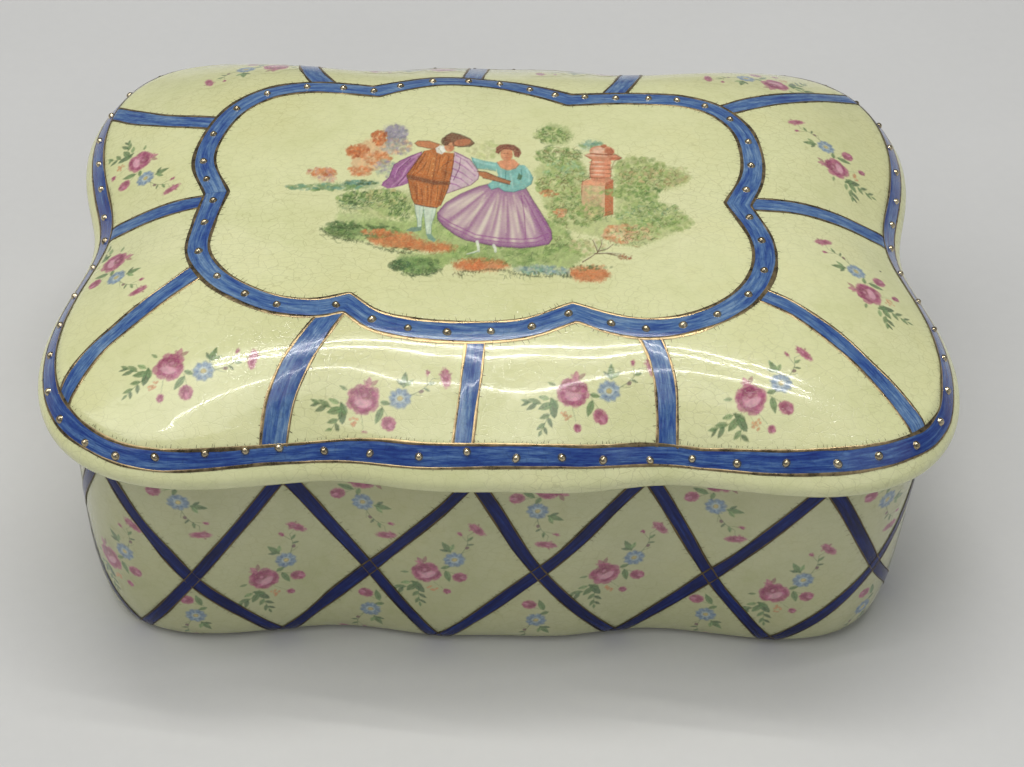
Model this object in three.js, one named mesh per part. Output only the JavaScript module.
// Porcelain trinket box: serpentine rectangular box with a domed lift-off lid.
// Units are millimetres, +Z up, +X along the long side, origin at the centre of the
// resting plane. Two physical pieces: the box base and the lid.
import * as THREE from 'three';
import { mergeVertices } from 'three/addons/utils/BufferGeometryUtils.js';

// ---------------------------------------------------------------- driving dimensions
const SEGMENTS = 80;                 // points round the plan outline
// Lip centre line in plan: r(a) = sum c[k] cos(2 k a). Six lobes, six shallow notches.
const OUTLINE = [91.275, 15.205, -9.376, -6.29, 0.601, 0.562, -0.72];
const LIP_RADIUS = 2.5;              // rolled edge of the lid, beyond the centre line
const LID_REST_Z = 55.3;             // unglazed land of the lid, just above the base rim
const BASE_HEIGHT = 55.0;            // top of the base rim
const BASE_TOP_INSET = 6.2;          // base wall behind the outer edge of the lid, at the rim
const BASE_FOOT_INSET = 11.6;        // foot ring outer edge behind the outer edge of the lid
const WALL = 4.4;                    // wall thickness of the base
const FLOOR = 5.6;                   // floor thickness above the resting plane
const FOOT_RING = 5.0;               // width of the unglazed foot ring
const FOOT_RECESS = 1.6;             // depth of the recess inside the foot ring
const FLANGE_CLEARANCE = 1.2;        // lid flange to base wall
const FLANGE_THICKNESS = 3.2;
const FLANGE_DEPTH = 5.0;            // how far the lid's locating flange drops inside the base
const BAND_INSET = 5.6;              // inner edge of the steep painted rim of the lid
const BAND_Z = 65.0;                 // height of that edge
const DOME_RISE = 13.0;              // rise from the rim to the crown
const DOME_STEEP = 3.6;              // how steeply the dome starts before it flattens
const SHELL = 4.3;                   // lid thickness at the crown

// ---------------------------------------------------------------- plan curves
const radius = (a) => OUTLINE.reduce((s, c, k) => s + c * Math.cos(2 * k * a), 0);
const slope = (a) => OUTLINE.reduce((s, c, k) => s - 2 * k * c * Math.sin(2 * k * a), 0);

// Point of the plan curve that lies a given distance inside the outer edge of the lid.
function offsetCurve(inset) {
  const d = LIP_RADIUS - inset;
  return (a) => {
    const r = radius(a), q = slope(a), c = Math.cos(a), s = Math.sin(a);
    const tx = q * c - r * s, ty = q * s + r * c, l = Math.hypot(tx, ty);
    return [r * c + (d * ty) / l, r * s - (d * tx) / l];
  };
}
// Contour of the dome: t = 0 at the rim, 1 at the crown. The notches fade towards the crown.
const rimCurve = offsetCurve(BAND_INSET);
function domeCurve(t) {
  const fade = 1 - 0.75 * Math.min(1, t / 0.45);
  return (a) => {
    const [x, y] = rimCurve(a);
    const lobe = OUTLINE[3] * Math.cos(6 * a);
    const k = (1 - t) * (1 - ((1 - fade) * lobe) / Math.hypot(x, y));
    return [x * k, y * k];
  };
}
const domeZ = (t) => BAND_Z + DOME_RISE * Math.tanh(DOME_STEEP * t);

// ---------------------------------------------------------------- swept solid
// A closed lathe whose circles are replaced by the given plan curves.
function sweep(rings) {
  const points = rings.map(([curve, z], j) => new THREE.Vector2(curve ? 50 + j : 0, z));
  const lathe = new THREE.LatheGeometry(points, SEGMENTS);
  const p = lathe.attributes.position;
  for (let i = 0; i <= SEGMENTS; i++) {
    const a = (2 * Math.PI * (i % SEGMENTS)) / SEGMENTS;
    for (let j = 0; j < rings.length; j++) {
      const [curve, z] = rings[j];
      const [x, y] = curve ? curve(a) : [0, 0];
      p.setXYZ(i * rings.length + j, x, y, z);
    }
  }
  lathe.deleteAttribute('normal');
  lathe.deleteAttribute('uv');
  const g = mergeVertices(lathe, 1e-4);
  const q = g.attributes.position, old = g.index.array;
  const v = (n) => new THREE.Vector3().fromBufferAttribute(q, n);
  const keep = [];
  let volume = 0;
  for (let n = 0; n < old.length; n += 3) {
    const [a, b, c] = [old[n], old[n + 1], old[n + 2]];
    if (a === b || b === c || c === a) continue;
    keep.push(a, b, c);
    volume += v(a).dot(v(b).cross(v(c))) / 6;
  }
  if (volume < 0) for (let n = 0; n < keep.length; n += 3) [keep[n + 1], keep[n + 2]] = [keep[n + 2], keep[n + 1]];
  g.setIndex(keep);
  g.computeVertexNormals();
  return g;
}

// ---------------------------------------------------------------- box base
// Nearly upright wall that leans in slightly and turns in to a narrow foot ring.
const inner = BASE_TOP_INSET + WALL;
const baseRings = [
  [null, FOOT_RECESS],
  [offsetCurve(BASE_FOOT_INSET + FOOT_RING + 1.6), FOOT_RECESS],
  [offsetCurve(BASE_FOOT_INSET + FOOT_RING), 0],
  [offsetCurve(BASE_FOOT_INSET), 0],
  [offsetCurve(BASE_FOOT_INSET - 1.6), 1.2],
  [offsetCurve(BASE_FOOT_INSET - 2.7), 3.4],
  [offsetCurve(BASE_FOOT_INSET - 3.7), 8],
  [offsetCurve(BASE_FOOT_INSET - 4.4), 16],
  [offsetCurve(BASE_TOP_INSET + 0.4), 32],
  [offsetCurve(BASE_TOP_INSET), BASE_HEIGHT - 0.9],
  [offsetCurve(BASE_TOP_INSET + 0.8), BASE_HEIGHT],
  [offsetCurve(inner - 0.8), BASE_HEIGHT],
  [offsetCurve(inner), BASE_HEIGHT - 0.9],
  [offsetCurve(inner + 0.5), 32],
  [offsetCurve(inner + 1.4), 18],
  [offsetCurve(inner + 3.2), 10],
  [offsetCurve(inner + 6.2), FLOOR + 1.2],
  [offsetCurve(inner + 10.5), FLOOR],
  [null, FLOOR],
];

// ---------------------------------------------------------------- lid
// Rolled lip, steep rim for the painted band, pillow-shaped dome, hollow inside, and a
// locating flange that drops inside the base.
const flangeOut = inner + FLANGE_CLEARANCE;
const flangeIn = flangeOut + FLANGE_THICKNESS;
const lidRings = [
  [null, domeZ(1)],
  ...[0.75, 0.56, 0.42, 0.32, 0.24, 0.17, 0.1, 0.045].map((t) => [domeCurve(t), domeZ(t)]),
  [offsetCurve(BAND_INSET), BAND_Z],
  [offsetCurve(3.7), 62.95],
  [offsetCurve(1.9), 60.75],
  [offsetCurve(0.85), 59.5],
  [offsetCurve(0.2), 58.45],
  [offsetCurve(0), 57.3],
  [offsetCurve(0.35), 56.2],
  [offsetCurve(1.2), 55.5],
  [offsetCurve(2.5), LID_REST_Z],
  [offsetCurve(flangeOut), LID_REST_Z],
  [offsetCurve(flangeOut), LID_REST_Z - FLANGE_DEPTH + 0.9],
  [offsetCurve(flangeOut + 0.9), LID_REST_Z - FLANGE_DEPTH],
  [offsetCurve(flangeIn - 0.9), LID_REST_Z - FLANGE_DEPTH],
  [offsetCurve(flangeIn), LID_REST_Z - FLANGE_DEPTH + 0.9],
  [offsetCurve(flangeIn), 63.6],
  ...[[0.17, 5.2], [0.24, 4.8], [0.34, 4.5], [0.5, SHELL + 0.1], [0.72, SHELL]].map(([t, w]) => [domeCurve(t), domeZ(t) - w]),
  [null, domeZ(1) - SHELL],
];

// ---------------------------------------------------------------- assembly
const group = new THREE.Group();
function piece(name, rings, colour, roughness) {
  const material = new THREE.MeshStandardMaterial({ color: colour, roughness, metalness: 0 });
  const mesh = new THREE.Mesh(sweep(rings), material);
  mesh.name = name;
  group.add(mesh);
  return mesh;
}
piece('box_base', baseRings, 0xdcdcb0, 0.14);
piece('lid', lidRings, 0xdcdcb0, 0.12);

export default group;
